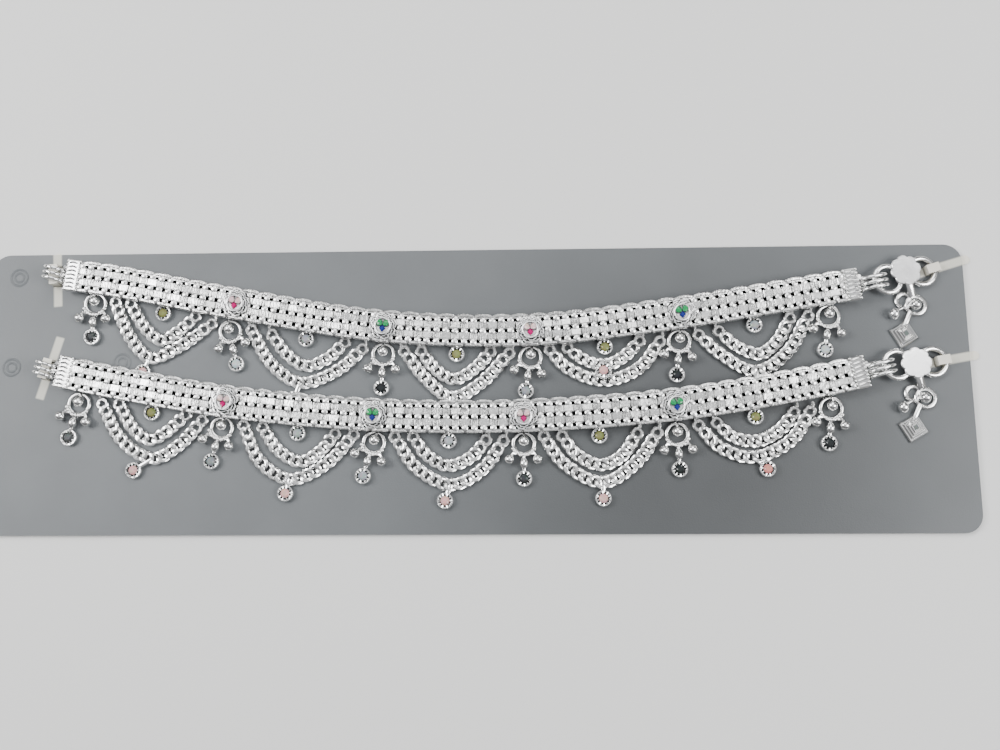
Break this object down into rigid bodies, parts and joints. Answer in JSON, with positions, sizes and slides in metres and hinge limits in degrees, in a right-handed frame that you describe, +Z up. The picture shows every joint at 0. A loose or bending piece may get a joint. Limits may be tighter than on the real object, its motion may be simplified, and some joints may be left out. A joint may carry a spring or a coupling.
{
  "type": "pair of payal anklets on a display card",
  "caption": "Pair of silver payal anklets with woven bands, curb chain swags, bells and set stones, laid out flat and tied to a frosted plastic display card.",
  "frame": {"origin": "Under the middle of everything, on the surface that the card's ties rest on.", "axes": "+X runs along the card from the coil ends to the hook clasps, +Y from the lower anklet to the upper one, +Z up."},
  "size_m": [0.283, 0.0819, 0.0078],
  "materials": {
    "card_plastic": "frosted grey sheet",
    "tie_plastic": "cream strip",
    "silver_weave": "woven, engraved silver",
    "silver_chain": "bright cut silver links",
    "polished_silver": "polished silver",
    "frosted_silver": "frosted white silver",
    "clear_stone": "faceted clear stone",
    "pink_stone": "faceted pale pink stone",
    "olive_stone": "faceted olive stone",
    "ruby_stone": "faceted ruby red stone",
    "green_stone": "faceted green stone",
    "blue_stone": "faceted blue stone"
  },
  "bodies": {
    "root": {"card": "card_plastic", "upper_left_tie": "tie_plastic", "lower_left_tie": "tie_plastic", "upper_right_tie": "tie_plastic", "lower_right_tie": "tie_plastic", "upper_band": "silver_weave", "upper_clasp": "polished_silver", "upper_flower_1": "frosted_silver", "upper_flower_2": "frosted_silver", "upper_flower_3": "frosted_silver", "upper_flower_4": "frosted_silver", "upper_cluster_1": "polished_silver", "upper_cluster_2": "polished_silver", "upper_cluster_3": "polished_silver", "upper_cluster_4": "polished_silver", "upper_cluster_5": "polished_silver", "upper_cluster_6": "polished_silver", "upper_outer_swag_1": "silver_chain", "upper_inner_swag_1": "silver_chain", "upper_stone_drop_1": "polished_silver", "upper_outer_swag_2": "silver_chain", "upper_inner_swag_2": "silver_chain", "upper_stone_drop_2": "polished_silver", "upper_outer_swag_3": "silver_chain", "upper_inner_swag_3": "silver_chain", "upper_stone_drop_3": "polished_silver", "upper_outer_swag_4": "silver_chain", "upper_inner_swag_4": "silver_chain", "upper_stone_drop_4": "polished_silver", "upper_outer_swag_5": "silver_chain", "upper_inner_swag_5": "silver_chain", "upper_stone_drop_5": "polished_silver", "lower_band": "silver_weave", "lower_clasp": "polished_silver", "lower_flower_1": "frosted_silver", "lower_flower_2": "frosted_silver", "lower_flower_3": "frosted_silver", "lower_flower_4": "frosted_silver", "lower_cluster_1": "polished_silver", "lower_cluster_2": "polished_silver", "lower_cluster_3": "polished_silver", "lower_cluster_4": "polished_silver", "lower_cluster_5": "polished_silver", "lower_cluster_6": "polished_silver", "lower_outer_swag_1": "silver_chain", "lower_inner_swag_1": "silver_chain", "lower_stone_drop_1": "polished_silver", "lower_outer_swag_2": "silver_chain", "lower_inner_swag_2": "silver_chain", "lower_stone_drop_2": "polished_silver", "lower_outer_swag_3": "silver_chain", "lower_inner_swag_3": "silver_chain", "lower_stone_drop_3": "polished_silver", "lower_outer_swag_4": "silver_chain", "lower_inner_swag_4": "silver_chain", "lower_stone_drop_4": "polished_silver", "lower_outer_swag_5": "silver_chain", "lower_inner_swag_5": "silver_chain", "lower_stone_drop_5": "polished_silver"}
  },
  "joints": []
}
